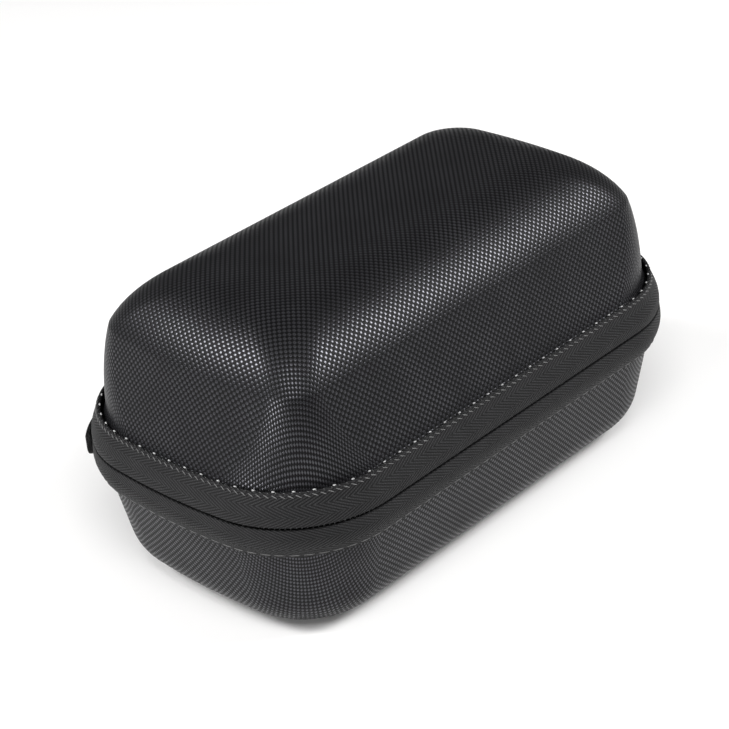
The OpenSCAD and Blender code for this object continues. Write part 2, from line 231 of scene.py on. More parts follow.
# %% Lid levels
CROWN_STEPS, WALL_STEPS = 8, 10
SHOULDER_STEPS, CORNER_EASE = 14, 1.5
JUST_ABOVE_CREASE, JUST_BELOW_CREASE = 0.985, 0.025
TIGHTEST_CORNER = 3
LID_FLARE = ((7.7, 3.65), (6.8, 3.1), (5.9, 2.6), (RIM_Z, 2.1))


def lid_corner(z, depth):
    up = (CREASE_Z - z) / (CREASE_Z - LID_FOOT_Z)
    return CREASE_CORNER + (RIM_R - CREASE_CORNER) * up ** CORNER_EASE - depth


def lid_wall_in(z):
    return LID_FOOT_IN + (z - LID_FOOT_Z) * math.tan(LID_LEAN)


def between(first, last, share):
    return tuple(a + (b - a) * share for a, b in zip(first, last))


def lid_levels(depth, flared):
    centre_in = CREASE_IN + SHOULDER_R * math.cos(CREASE_TURN)
    centre_z = CREASE_Z - SHOULDER_R * math.sin(CREASE_TURN)
    radius = SHOULDER_R - depth
    last = math.pi / 2 - CROWN_SLOPE
    edge_in = centre_in - radius * math.cos(last)
    edge_z = centre_z + radius * math.sin(last)
    levels = []
    for k in range(CROWN_STEPS):
        out = k / CROWN_STEPS
        levels.append((HALF_W - (HALF_W - edge_in) * out, edge_z + CROWN_RISE * (1 - out ** 2),
                       (CROWN_CORNER - depth) * out))
    for down in [k / SHOULDER_STEPS for k in range(SHOULDER_STEPS)] + [JUST_ABOVE_CREASE, 1.0]:
        t = last + (CREASE_TURN - last) * down
        corner = CROWN_CORNER + (CREASE_CORNER - CROWN_CORNER) * down - depth
        levels.append((centre_in - radius * math.cos(t), centre_z + radius * math.sin(t),
                       max(corner, TIGHTEST_CORNER)))
    crease, foot = levels[-1], (LID_FOOT_IN + depth, LID_FOOT_Z, RIM_R - depth)
    for share in [JUST_BELOW_CREASE] + [k / WALL_STEPS for k in range(1, WALL_STEPS + 1)]:
        inset, z, _ = between(crease, foot, share)
        up = share ** CORNER_EASE
        levels.append((inset, z, crease[2] + (foot[2] - crease[2]) * up))
    for z, flare in LID_FLARE:
        levels.append(((flare if flared else lid_wall_in(z)) + depth, z, lid_corner(z, depth)))
    return levels


lid_skin = shell("lid_skin", lid_levels(0, True), lid_levels(COVER_T, True),
                 "lid", "lid_cover", "cover_fabric")
lid_foam = shell("lid_foam", lid_levels(COVER_T, True), lid_levels(COVER_T + FOAM_T, False),
                 "lid", "lid_foam_shell", "foam")
lid_inside = shell("lid_inside", lid_levels(COVER_T + FOAM_T, False), lid_levels(WALL_T, False),
                   "lid", "lid_lining", "lining")

# %% [markdown]
# ## The base's three layers
# The base is shallower. Its wall is nearly upright, and rolls under in one large bend to the flat
# that the case stands on.

# %% Base levels
FLOOR_STEPS, HEEL_STEPS = 6, 14
BASE_RIM = (-7.1, -6.0, -RIM_Z)


def base_wall_in(z):
    return BASE_FOOT_IN + (BASE_FOOT_Z - z) * math.tan(BASE_LEAN)


def base_levels(depth):
    centre_in = HEEL_IN + HEEL_R * math.cos(BASE_LEAN)
    centre_z = HEEL_Z + HEEL_R * math.sin(BASE_LEAN)
    radius = HEEL_R - depth
    levels = []
    for k in range(FLOOR_STEPS):
        out = k / FLOOR_STEPS
        levels.append((HALF_W - (HALF_W - centre_in) * out, centre_z - radius,
                       (CORNER_R - centre_in) * out))
    for k in range(HEEL_STEPS + 1):
        t = math.pi / 2 + (BASE_LEAN - math.pi / 2) * k / HEEL_STEPS
        inset = centre_in - radius * math.cos(t)
        levels.append((inset, centre_z - radius * math.sin(t), CORNER_R - inset))
    top_corner = levels[-1][2]
    for k in range(1, WALL_STEPS + 1):
        up = k / WALL_STEPS
        z = HEEL_Z + (BASE_FOOT_Z - HEEL_Z) * up
        levels.append((base_wall_in(z) + depth, z, top_corner + (RIM_R - depth - top_corner) * up))
    for z in BASE_RIM:
        levels.append((base_wall_in(z) + depth, z, RIM_R - depth))
    return levels


base_skin = shell("base_skin", base_levels(0), base_levels(COVER_T),
                  "base", "base_cover", "cover_fabric")
base_foam = shell("base_foam", base_levels(COVER_T), base_levels(COVER_T + FOAM_T),
                  "base", "base_foam_shell", "foam")
base_inside = shell("base_inside", base_levels(COVER_T + FOAM_T), base_levels(WALL_T),
                    "base", "base_lining", "lining")

# %% [markdown]
# ## Zip tapes
# Each tape runs all round. Its section is drawn once as a closed line of points, each a distance
# outside the seam's outline and a height above the seam. The sewn edge of the lid's tape is turned
# over a cord, so it stands off the shell as a bead. The cloth attribute runs along and across.

# %% Tapes


def strip(name, section, body, slot, *nodes):
    """A strip all round the case, with a closed section of (outwards, height) points."""
    rings, across, before = [], 0.0, section[0]
    for out, z in section:
        across += math.hypot(out - before[0], z - before[1])
        before = (out, z)
        rings.append([(x + nx * out, y + ny * out, SEAM + z, s, across)
                      for (x, y, nx, ny), s in zip(seam_line, seam_marks)])
    return settle(loft(name, rings, "joined"), body, slot, *nodes)


def bead(out, z, radius, first, last, steps=7):
    """Points of an arc in the section, from one angle to another, in degrees."""
    angles = [math.radians(first + (last - first) * k / steps) for k in range(steps + 1)]
    return [(out + radius * math.cos(t), z + radius * math.sin(t)) for t in angles]


LID_TAPE = [(-0.62, 0.3), (-0.36, 0.42), (-0.3, 0.8), (-0.32, 1.9), (-0.52, 3.1), (-0.88, 4.2),
            (-1.32, 5.3), (-1.85, 6.4), (-2.15, 7.05), *bead(-2.75, 7.6, 0.55, 0, 200), (-3.0, 7.1),
            (-2.72, 6.5), (-2.2, 5.4), (-1.72, 4.3), (-1.34, 3.2), (-1.1, 2.0), (-1.08, 0.8), (-0.98, 0.38)]
BASE_TAPE = [(-0.62, -0.3), (-0.36, -0.42), (-0.26, -0.8), (-0.08, -2.2), (0.0, -3.5), (-0.12, -4.6),
             (-0.45, -5.8), (-0.95, -6.9), (-1.42, -7.7), *bead(-1.8, -7.82, 0.36, 10, -150, 5),
             (-2.0, -7.3), (-1.65, -6.6), (-1.22, -5.7), (-0.92, -4.6), (-0.82, -3.4), (-0.9, -2.2),
             (-1.06, -0.8), (-0.98, -0.38)]
lid_tape = strip("lid_tape", LID_TAPE, "lid", "zip_tape", "lid_zip_tape")
base_tape = strip("base_tape", BASE_TAPE, "base", "zip_tape", "base_zip_tape")

# %% [markdown]
# ## Edge bindings
# Inside each rim a ribbed tape covers the raw edge of foam and lining. Its section is a soft loop.

# %% Bindings
BINDING_GAP, FOLD_R = 0.06, 0.36
LID_BIND_OUT = -(lid_wall_in(RIM_Z) + WALL_T + BINDING_GAP)
BASE_BIND_OUT = -(base_wall_in(-RIM_Z) + WALL_T + BINDING_GAP)
LID_BINDING = [(LID_BIND_OUT, 5.05), *bead(LID_BIND_OUT - 0.4, 5.35, FOLD_R, -90, -180, 4),
               (LID_BIND_OUT - 1.8, 8.3), (LID_BIND_OUT - 1.4, 8.55), (LID_BIND_OUT - 1.1, 8.3)]
BASE_BINDING = [(BASE_BIND_OUT, -5.05), *bead(BASE_BIND_OUT - 0.4, -5.35, FOLD_R, 90, 180, 4),
                (BASE_BIND_OUT - 1.4, -7.9), (BASE_BIND_OUT - 1.05, -8.15), (BASE_BIND_OUT - 0.7, -7.9)]
lid_binding = strip("lid_binding", LID_BINDING, "lid", "zip_tape", "lid_edge_binding")
base_binding = strip("base_binding", BASE_BINDING, "base", "zip_tape", "base_edge_binding")

# %% [markdown]
# ## Places along the zip
# Coils and stitches repeat along the seam, so one function gives a place on it: a point, the
# direction along the zip and the direction outwards, at a length measured from the middle of the back.

# %% Places
UP = Vector((0, 0, 1))
ZIP_END_ANGLE, FLAP_ANGLE = 70, 44


def on_seam(s, out, z):
    """(point in mm, along, outwards) at a length along the seam, offset outwards and up."""
    s = s % SEAM_LENGTH
    i = min(bisect.bisect_right(seam_marks, s) - 1, len(seam_line) - 1)
    a, b = seam_line[i], seam_line[(i + 1) % len(seam_line)]
    share = (s - seam_marks[i]) / (seam_marks[i + 1] - seam_marks[i])
    x, y, nx, ny = (p + (q - p) * share for p, q in zip(a, b))
    outwards = Vector((nx, ny, 0)).normalized()
    point = Vector((x, y, SEAM + z)) + outwards * out
    return point, UP.cross(outwards), outwards


def seam_frame(s, out, z):
    """A matrix whose x runs along the zip, y outwards and z up, placed on the seam."""
    point, along, outwards = on_seam(s, out, z)
    turn = Matrix((along, outwards, UP)).transposed().to_4x4()
    return Matrix.Translation(point * MM) @ turn


def length_at(angle_deg):
    """Length along the seam to an angle round the back left corner, which starts at the left end."""
    x = -(CORNER_X + CORNER_R * math.cos(math.radians(angle_deg)))
    y = CORNER_Y + CORNER_R * math.sin(math.radians(angle_deg))
    nearest = min(range(len(seam_line) // 2),
                  key=lambda i: math.hypot(seam_line[i][0] - x, seam_line[i][1] - y))
    return seam_marks[nearest]


coil_start, FLAP_END = length_at(ZIP_END_ANGLE), length_at(FLAP_ANGLE)
print("the coils run", round(SEAM_LENGTH - 2 * coil_start, 1), "mm")

# %% [markdown]
# ## The coils
# Each row of teeth is one nylon filament wound into a flat spiral. A curve that winds round the
# seam carries a round bevel, and the two spirals are half a turn apart, so that they mesh.

# %% Coils
COIL_PITCH, COIL_TURN_POINTS, COIL_WIRE = 1.3, 10, 0.27
COIL_OUT, COIL_REACH = -1.95, 0.5
COIL_TOP, COIL_TALL = 0.85, 0.8


def coil(name, side, body, node):
    """A flat spiral just above (side 1) or below (side -1) the seam."""
    turns = int((SEAM_LENGTH - 2 * coil_start) / COIL_PITCH)
    curve = bpy.data.curves.new(name, "CURVE")
    curve.dimensions = "3D"
    curve.bevel_depth = COIL_WIRE * MM
    curve.bevel_resolution = 1
    curve.use_fill_caps = True
    spline = curve.splines.new("POLY")
    spline.points.add(turns * COIL_TURN_POINTS - 1)
    for i, point in enumerate(spline.points):
        turn = i / COIL_TURN_POINTS
        angle = 2 * math.pi * turn * side
        shift = 0.5 if side > 0 else 0.0
        place, _, _ = on_seam(coil_start + (turn + shift) * COIL_PITCH,
                              COIL_OUT + COIL_REACH * math.cos(angle),
                              side * (COIL_TOP - COIL_TALL * math.sin(abs(angle))))
        point.co = (*(place * MM), 1)
    piece = bpy.data.objects.new(name, curve)
    bpy.context.scene.collection.objects.link(piece)
    bpy.ops.object.select_all(action="DESELECT")
    piece.select_set(True)
    bpy.context.view_layer.objects.active = piece
    bpy.ops.object.convert(target="MESH")
    piece = bpy.context.object
    bpy.ops.object.shade_smooth()
    print(name, turns, "turns,", len(piece.data.polygons), "faces")
    return settle(piece, body, "coil", node)


lid_coil = coil("lid_coil", 1, "lid", "lid_zip_coil")
base_coil = coil("base_coil", -1, "base", "base_zip_coil")

# %% [markdown]
# ## Stitches
# A stitch is a short thread that stands up round, so it is a small ball pulled long. One is made,
# and copies are set along the tape, then joined. On the lid's tape a pale lockstitch shows at the
# edge every five millimetres, and slanted yarns wrap the corded edge between them.

# %% Stitches


def thread(name, long, thick, segments=8, rings=6):
    """One stitch, lying along x."""
    bpy.ops.object.select_all(action="DESELECT")
    bpy.ops.mesh.primitive_uv_sphere_add(segments=segments, ring_count=rings, radius=0.5 * MM)
    piece = bpy.context.object
    piece.name = piece.data.name = name
    piece.rotation_euler = (0, math.pi / 2, 0)
    bpy.ops.object.transform_apply(rotation=True)
    piece.scale = (long, thick, thick)
    bpy.ops.object.transform_apply(scale=True)
    bpy.ops.object.shade_smooth()
    return piece


def copies(pattern, name, places):
    """Copies of one piece at each place, joined into one piece."""
    made = []
    for place in places:
        twin = pattern.copy()
        twin.data = pattern.data.copy()
        twin.data.transform(place)
        bpy.context.scene.collection.objects.link(twin)
        made.append(twin)
    bpy.data.objects.remove(pattern)
    bpy.ops.object.select_all(action="DESELECT")
    for twin in made:
        twin.select_set(True)
    bpy.context.view_layer.objects.active = made[0]
    bpy.ops.object.join()
    piece = bpy.context.object
    piece.name = piece.data.name = name
    print(name, "has", len(made), "stitches")
    return piece


def spaced(first, last, step):
    count = int((last - first) / step)
    return [first + (last - first) * (k + 0.5) / count for k in range(count)]


STITCH_STEP, WRAP_STEP, SEAM_STITCH_STEP = 5.1, 1.95, 3.4
SEAM_STITCH = (2.6, 0.34, 6, 6)
tape_run = (coil_start, SEAM_LENGTH - coil_start)
lid_stitches = copies(thread("stitch", 0.85, 0.5), "lid_stitches",
                      [seam_frame(s, -3.1, 8.05) @ Matrix.Rotation(math.radians(12), 4, "Y")
                       for s in spaced(*tape_run, STITCH_STEP)])
settle(lid_stitches, "lid", "thread", "lid_tape_stitching")
edge_wraps = copies(thread("wrap", 2.7, 0.26, 6, 6), "edge_wraps",
                    [seam_frame(s, -2.3, 7.65) @ Matrix.Rotation(math.radians(24), 4, "Y")
                     @ Matrix.Rotation(math.radians(16), 4, "Z") for s in spaced(*tape_run, WRAP_STEP)])
settle(edge_wraps, "lid", "thread")
base_stitches = copies(thread("stitch", *SEAM_STITCH), "base_stitches",
                       [seam_frame(s, -1.16, -7.3)
                        for s in spaced(FLAP_END + 1, SEAM_LENGTH - FLAP_END - 1, SEAM_STITCH_STEP)]
                       + [seam_frame(s, 1.55, -6.3) for s in spaced(-44, 44, SEAM_STITCH_STEP)])
settle(base_stitches, "base", "thread", "base_tape_stitching")
back_stitches = copies(thread("stitch", *SEAM_STITCH), "back_stitches",
                       [seam_frame(s, 1.55, 6.0) for s in spaced(-42, 42, SEAM_STITCH_STEP)])
settle(back_stitches, "lid", "thread")

# %% [markdown]
# ## The hinge
# One strip of the tape fabric is sewn across the seam along the back, and its ends turn down round
# the corners as flaps on the base. It is made as sections at places along the seam. It crosses the
# hinge, and so does the strip of lining inside.

# %% Hinge strips
BACK_HALF = 45.26
STRIP_OUT, STRIP_T, STRIP_HALF = 1.5, 1.2, 7
FLAP_TOP = -0.45


def slab(low, high, outer, thick, steps=30):
    """A flat closed section with eased edges, from its lower outer edge up and back down."""
    heights = [low + 0.3 + (high - low - 0.6) * k / steps for k in range(steps + 1)]
    inner = outer - thick
    return ([(outer - 0.25, low)] + [(outer, z) for z in heights]
            + [(outer - 0.25, high), (inner + 0.25, high)]
            + [(inner, z) for z in reversed(heights)] + [(inner + 0.25, low)])


def ribbon(name, stations, body, slot, *nodes):
    """A strip with two ends, from closed sections (outwards, height) at lengths along the seam."""
    rings = []
    for s, section in stations:
        across, before, ring = 0.0, section[0], []
        for out, z in section:
            across += math.hypot(out - before[0], z - before[1])
            before = (out, z)
            ring.append((*on_seam(s, out, z)[0], s, across))
        rings.append(ring)
    return settle(loft(name, rings, "capped"), body, slot, *nodes)


def flap_low(s, radius=3.0):
    """The flap's lower edge, rounded up at its end."""
    left = min(FLAP_END - abs(s), radius)
    return -STRIP_HALF + radius - math.sqrt(max(radius ** 2 - (radius - left) ** 2, 0))


flap_places = ([FLAP_END - d for d in (0, 0.12, 0.45, 0.9, 1.5, 2.2, 3.0)]
               + [FLAP_END - 3 - 2.0 * k for k in range(1, 8)])
flap_places = [s for s in flap_places if s > BACK_HALF + 0.1] + [BACK_HALF + 0.04]
back_places = [BACK_HALF * (1 - k / 16) for k in range(33)]
left_flap = [(s, slab(flap_low(s), FLAP_TOP, STRIP_OUT, STRIP_T)) for s in flap_places]
right_flap = [(-s, slab(flap_low(s), FLAP_TOP, STRIP_OUT, STRIP_T)) for s in reversed(flap_places)]
middle = [(s, slab(-STRIP_HALF, STRIP_HALF, STRIP_OUT, STRIP_T)) for s in back_places]
stations = left_flap + middle + right_flap
hinge_cloth = ribbon("hinge_cloth", stations, None, "zip_tape", "hinge_strip")
hinge_inner = ribbon("hinge_inner", [(s, slab(-4.6, 4.6, -1.95, 0.6)) for s in back_places],
                     None, "lining", "hinge_lining")
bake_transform(hinge_cloth)
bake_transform(hinge_inner)

# %% [markdown]
# ## The cut foam insert
# A block of soft foam fills the base. It has a long cavity for the monitor and a short one for the
# lead, and a knit facing on top. The block is a loft inside the lining's form, and the cavities are
# cut by solids of their own shape, as a die cuts the real foam.

# %% Insert
INSERT_TOP, FACING_T, CAVITY_Z, CAVITY_R = 30.0, 0.8, 10.0, 6
CAVITIES = ((-58, 32, 27), (38, 60, 23))


def round_box(name, x0, x1, half, radius, low, high):
    """A cutter with round upright corners and a soft lower edge."""
    rings = []
    for inset, z in ((0.8, low), (0.25, low + 0.25), (0, low + 0.8), (0, high)):
        r, ring = radius - inset, []
        for cx, cy, start in ((x1 - radius, half - radius, 0), (x0 + radius, half - radius, 90),
                              (x0 + radius, radius - half, 180), (x1 - radius, radius - half, 270)):
            for k in range(9):
                t = math.radians(start + 90 * k / 8)
                ring.append((cx + r * math.cos(t), cy + r * math.sin(t), z, 0, 0))
        rings.append(ring)
    return loft(name, rings, "capped")


def cut_cavities(piece):
    for x0, x1, half in CAVITIES:
        cutter = round_box("cutter", x0, x1, half, CAVITY_R, CAVITY_Z, INSERT_TOP + 3)
        bpy.context.view_layer.objects.active = piece
        cut = piece.modifiers.new("cut", "BOOLEAN")
        cut.operation, cut.object, cut.solver = "DIFFERENCE", cutter, "EXACT"
        bpy.ops.object.modifier_apply(modifier=cut.name)
        bpy.data.objects.remove(cutter)
    print(piece.name, "is cut;", len(piece.data.polygons), "faces")


def closed_over(levels, top):
    """Levels of a form that stands in the base, closed over at the top with an eased edge."""
    inset, _, radius = levels[-1]
    over = [(inset, top - 0.7, radius), (inset + 0.2, top - 0.2, radius - 0.2),
            (inset + 0.7, top, radius - 0.7)]
    inwards = [(inset + (HALF_W - inset) * k / 4, top, max(radius * (1 - k / 4), 0)) for k in (1, 2, 3, 4)]
    return levels + over + inwards


foam_top = INSERT_TOP - FACING_T - SEAM
side = [(u + 0.3, z, r) for u, z, r in base_levels(WALL_T + 0.3) if z < foam_top - 4]
side.append((base_wall_in(foam_top) + WALL_T + 1.2, foam_top - 1, RIM_R - WALL_T - 0.3))
insert_block = settle(loft("insert_block", rings_of(closed_over(side, foam_top))),
                      "base", "foam", "foam_insert")
cut_cavities(insert_block)
edge_in, edge_r = side[-1][0] + 0.3, side[-1][2]
under = [(HALF_W - (HALF_W - edge_in) * k / 4, foam_top + 0.02, edge_r * k / 4) for k in range(4)]
under += [(edge_in + 0.2, foam_top + 0.02, edge_r - 0.2), (edge_in, foam_top + 0.1, edge_r)]
facing = settle(loft("facing", rings_of(closed_over(under, foam_top + FACING_T))),
                "base", "lining", "insert_facing")
cut_cavities(facing)
facing_outline = outline(edge_in, edge_r)
following = facing_outline[1:] + facing_outline[:1]
area = sum(a[0] * b[1] - b[0] * a[1] for a, b in zip(facing_outline, following)) / 2
area -= sum((x1 - x0) * 2 * half - CAVITY_R ** 2 * (4 - math.pi) for x0, x1, half in CAVITIES)
2 * (HALF_L - edge_in) * MM
2 * (HALF_W - edge_in) * MM
area * MM * MM

# %% [markdown]
# ## The net pocket
# A knitted net is stretched across the back of the lid, with a binding round its sewn edge and a wide
# elastic along its mouth. The net is a grid fitted to the outline, and sags a little in its middle.

# %% Net pocket
POCKET_Z, POCKET_FRONT, NET_SAG = 9.4, -18.0, 0.9
NET_IN = lid_wall_in(POCKET_Z) + WALL_T + 1.4
NET_R = lid_corner(POCKET_Z, WALL_T) - 1.2
net_half = [(y, x) for x, y, _, _ in quarter(NET_IN, NET_R)]


def half_length(y):
    """Half of the net's length at a distance from the case's middle line."""
    y = abs(y)
    for (y0, x0), (y1, x1) in zip(net_half, net_half[1:]):
        if y0 <= y <= y1 and y1 > y0:
            return x0 + (x1 - x0) * (y - y0) / (y1 - y0)
    return net_half[CORNER_STEPS + END_STEPS][1]


bpy.ops.object.select_all(action="DESELECT")
bpy.ops.mesh.primitive_grid_add(x_subdivisions=56, y_subdivisions=28, size=2)
net = bpy.context.object
net.name = net.data.name = "net"
net_back = HALF_W - NET_IN
net_cloth = net.data.attributes.new("cloth", "FLOAT_VECTOR", "POINT")
for v, mark in zip(net.data.vertices, net_cloth.data):
    y = POCKET_FRONT + (net_back - POCKET_FRONT) * math.sin((v.co.y + 1) / 2 * math.pi / 2)
    x = v.co.x * half_length(y)
    sag = NET_SAG * (1 - v.co.x ** 2) * (1 - v.co.y ** 2)
    v.co = Vector((x, y, SEAM + POCKET_Z + 0.5 - sag)) * MM
    mark.vector = (x, y, 0)
bpy.ops.object.shade_smooth()
settle(net, "lid", "net", "net_pocket")

# %% [markdown]
# ## The pocket's edges
# A tape binds the sewn edge of the net, and a broad ribbed elastic pulls the mouth flat. The elastic
# swells a little at every other rib, as a gathered band does.

# %% Pocket edges
ELASTIC_HALF, ELASTIC_RINGS, ELASTIC_SWELL = 59, 60, 0.12


def block(low, high, out, thick, ease=0.2):
    """A closed section with cut corners, from its lower outer edge."""
    return [(out - ease, low), (out, low + ease), (out, high - ease), (out - ease, high),
            (out - thick + ease, high), (out - thick, high - ease),
            (out - thick, low + ease), (out - thick + ease, low)]


net_edge = quarter(NET_IN - 0.6, NET_R + 0.6)
round_edge = ([p for p in flipped(net_edge, 1, -1)[::-1] if p[1] > POCKET_FRONT] + net_edge[1:]
              + flipped(net_edge, -1, 1)[::-1][1:]
              + [p for p in flipped(net_edge, -1, -1)[1:] if p[1] > POCKET_FRONT])
edge_marks = lengths_along(round_edge)
rings = [[(x + nx * out, y + ny * out, SEAM + z, s, z)
          for out, z in block(POCKET_Z - 0.6, POCKET_Z + 1.8, 0, 0.6)]
         for (x, y, nx, ny), s in zip(round_edge, edge_marks)]
net_binding = settle(loft("net_binding", rings, "capped"), "lid", "zip_tape", "pocket_binding")
rings = []
for k in range(ELASTIC_RINGS):
    x = -ELASTIC_HALF + 2 * ELASTIC_HALF * k / (ELASTIC_RINGS - 1)
    swell = ELASTIC_SWELL * math.cos(k * math.pi)
    rings.append([(x, POCKET_FRONT - 0.05 + out, SEAM + z, x, out)
                  for out, z in block(POCKET_Z - 0.4 - swell, POCKET_Z + 1.4 + swell, 0, 5.95, 0.5)])
elastic = settle(loft("elastic", rings, "capped"), "lid", "elastic", "pocket_elastic")
net_width = 2 * half_length(0)
net_width * MM
(net_back - POCKET_FRONT) * MM

# %% [markdown]
# ## Sliders, pulls and end stops
# Each slider is a small casting. Its CAD form is right, so a copy has its loose triangles merged, its
# flat faces made whole and its edges rounded. The two end stops are finished in the same way.

# %% Metal parts


def softened(node, name, body, slot, width):
    """A copy of a CAD node with rounded edges."""
    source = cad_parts[node]
    piece = bpy.data.objects.new(name, source.data.copy())
    piece.data.transform(source.matrix_world)
    bpy.context.scene.collection.objects.link(piece)
    bpy.ops.object.select_all(action="DESELECT")
    piece.select_set(True)
    bpy.context.view_layer.objects.active = piece
    bpy.ops.object.mode_set(mode="EDIT")
    bpy.ops.mesh.select_all(action="SELECT")
    bpy.ops.mesh.remove_doubles(threshold=0.001 * MM)
    bpy.ops.mesh.dissolve_limited(angle_limit=math.radians(4))
    bpy.ops.object.mode_set(mode="OBJECT")
    edges = piece.modifiers.new("edges", "BEVEL")
    edges.width, edges.segments = width * MM, 2
    edges.limit_method, edges.angle_limit = "ANGLE", math.radians(35)
    bpy.ops.object.modifier_apply(modifier=edges.name)
    bpy.ops.object.shade_smooth_by_angle(angle=SMOOTH_BELOW)
    print(name, "has", len(piece.data.polygons), "faces")
    return settle(piece, body, slot, node)


metal_parts = []
for place in ("front", "rear"):
    metal_parts.append(softened(place + "_slider", place + "_casting", place + "_slider",
                                "slider_metal", 0.22))
    metal_parts.append(softened(place + "_pull_tab", place + "_tab", place + "_pull", "slider_metal", 0.25))
metal_parts.append(softened("zip_end_stops", "end_stops", "base", "slider_metal", 0.2))

# %% [markdown]
# ## Grips
# The grips are moulded rubber: a loft from the tab down to a round end, with grooves across it for
# the fingers.

# %% Grips
BAR_OUT, GRIP_TOP, GRIP_LONG = 3.6, -6.5, 17.0
GRIP_HALF, GRIP_THICK, NECK_IN, NECK_LONG = 3.8, 1.6, 0.8, 2.2
GROOVE_PITCH, GROOVE_DEPTH, FIRST_GROOVE, GROOVE_ZONE = 2.2, 0.3, 6.6, (4.2, 12.4)
GRIP_STEPS, GRIP_SIDES = 60, 28


def grip(name, place, body, node):
    """A moulded grip in its slider's frame: x outwards, y along the zip, z up, in millimetres."""
    rings = []
    for k in range(GRIP_STEPS + 1):
        z = GRIP_TOP - GRIP_LONG * k / GRIP_STEPS
        from_top, from_end = GRIP_TOP - z, z - GRIP_TOP + GRIP_LONG
        half = min(GRIP_HALF - NECK_IN + NECK_IN * min(from_top / NECK_LONG, 1), GRIP_HALF)
        if from_end < GRIP_HALF:
            half = math.sqrt(max(GRIP_HALF ** 2 - (GRIP_HALF - from_end) ** 2, 0.05))
        thick = GRIP_THICK * min(1, 0.62 + 0.38 * min(from_top / 1.2, 1)) * min(1, 0.4 + from_end / 1.6)
        groove = max(0.0, math.cos((from_top - FIRST_GROOVE) * 2 * math.pi / GROOVE_PITCH)) ** 3
        if GROOVE_ZONE[0] < from_top < GROOVE_ZONE[1]:
            thick -= GROOVE_DEPTH * groove
        ring = []
        for j in range(GRIP_SIDES):
            t = 2 * math.pi * j / GRIP_SIDES
            out = thick * math.copysign(abs(math.cos(t)) ** 0.55, math.cos(t))
            along = half * math.copysign(abs(math.sin(t)) ** 0.7, math.sin(t))
            point = place @ Vector((BAR_OUT + out, along, z))
            ring.append((*point, along, z))
        rings.append(ring)
    return settle(loft(name, rings, "capped"), body, "grip_rubber", node)


front_turn, rear_turn = math.radians(2.86), math.radians(9)
front_place = (Matrix.Translation((HALF_L - END_R, 0, SEAM)) @ Matrix.Rotation(front_turn, 4, "Z")
               @ Matrix.Translation((END_R, 0, 0)))
rear_place = (Matrix.Translation((CORNER_X, CORNER_Y, SEAM)) @ Matrix.Rotation(rear_turn, 4, "Z")
              @ Matrix.Translation((CORNER_R, 0, 0)))
front_grip = grip("front_grip", front_place, "front_pull", "front_pull_grip")
rear_grip = grip("rear_grip", rear_place, "rear_pull", "rear_pull_grip")

# %% [markdown]
# ## Finishes: a socket that does sums
# A weave is arithmetic on the cloth's two coordinates. To write it as arithmetic, one small class
# wraps a socket and overloads the operators, and one method adds any other node.

# %% Shader arithmetic


class Yarn:
    """A value in a finish. Sums on it add Math nodes."""

    def __init__(self, finish, socket):
        self.finish, self.socket = finish, socket

    def sum(self, operation, first, *others):
        values = dict(enumerate((first, *others)))
        return self.finish.node("ShaderNodeMath", {"operation": operation}, values)

    def __add__(self, other):
        return self.sum("ADD", self, other)

    def __sub__(self, other):
        return self.sum("SUBTRACT", self, other)

    def __rsub__(self, other):
        return self.sum("SUBTRACT", other, self)

    def __mul__(self, other):
        return self.sum("MULTIPLY", self, other)

    def __truediv__(self, other):
        return self.sum("DIVIDE", self, other)

    def __mod__(self, other):
        return self.sum("FLOORED_MODULO", self, other)

    __radd__, __rmul__ = __add__, __mul__

    def at_least(self, low):
        return self.sum("MAXIMUM", self, low)

    def floor(self):
        return self.sum("FLOOR", self)

    def fraction(self):
        return self.sum("FRACT", self)

    def wave(self):
        """A cosine between 0 and 1, one wave for each unit."""
        return self.sum("COSINE", self * (2 * math.pi)) * 0.5 + 0.5


class Finish:
    """A material made of nodes."""

    def __init__(self, name, **shader):
        self.material = bpy.data.materials.new(name)
        self.material.use_nodes = True
        self.tree = self.material.node_tree
        self.tree.nodes.clear()
        self.shader = self.tree.nodes.new("ShaderNodeBsdfPrincipled")
        output = self.tree.nodes.new("ShaderNodeOutputMaterial")
        self.tree.links.new(self.shader.outputs[0], output.inputs[0])
        self.set(**shader)

    def fill(self, socket, value):
        if isinstance(value, Yarn):
            self.tree.links.new(value.socket, socket)
        else:
            socket.default_value = value

    def node(self, kind, settings=(), values=(), output=0):
        """Add a node. Its settings come first, then its sockets' values or links."""
        made = self.tree.nodes.new(kind)
        for key, value in dict(settings).items():
            setattr(made, key, value)
        for key, value in dict(values).items():
            self.fill(made.inputs[key], value)
        return Yarn(self, made.outputs[output])

    def set(self, **shader):
        """Set the shader's sockets: Base_Color=..., Roughness=..."""
        for key, value in shader.items():
            self.fill(self.shader.inputs[key.replace("_", " ")], value)

    def parts(self, vector):
        return [self.node("ShaderNodeSeparateXYZ", (), {0: vector}, axis) for axis in "XYZ"]

    def cloth(self):
        return self.parts(self.node("ShaderNodeAttribute", {"attribute_name": "cloth"}, (), "Vector"))[:2]

    def place(self):
        return self.node("ShaderNodeTexCoord", (), (), "Object")

    def blend(self, share, first, second):
        """A colour between two colours."""
        return self.node("ShaderNodeMix", {"data_type": "RGBA"}, {0: share, 6: first, 7: second}, 2)

    def noise(self, scale, detail=2.0):
        return self.node("ShaderNodeTexNoise", (),
                         {"Vector": self.place(), "Scale": scale, "Detail": detail}, "Fac")

    def raised(self, height, depth):
        """Light the surface as if it rose by height times depth millimetres."""
        self.set(Normal=self.node("ShaderNodeBump", (),
                                  {"Strength": 1.0, "Distance": depth * MM, "Height": height}, "Normal"))


def grey(value, blue=1.06):
    return (value, value, value * blue, 1)


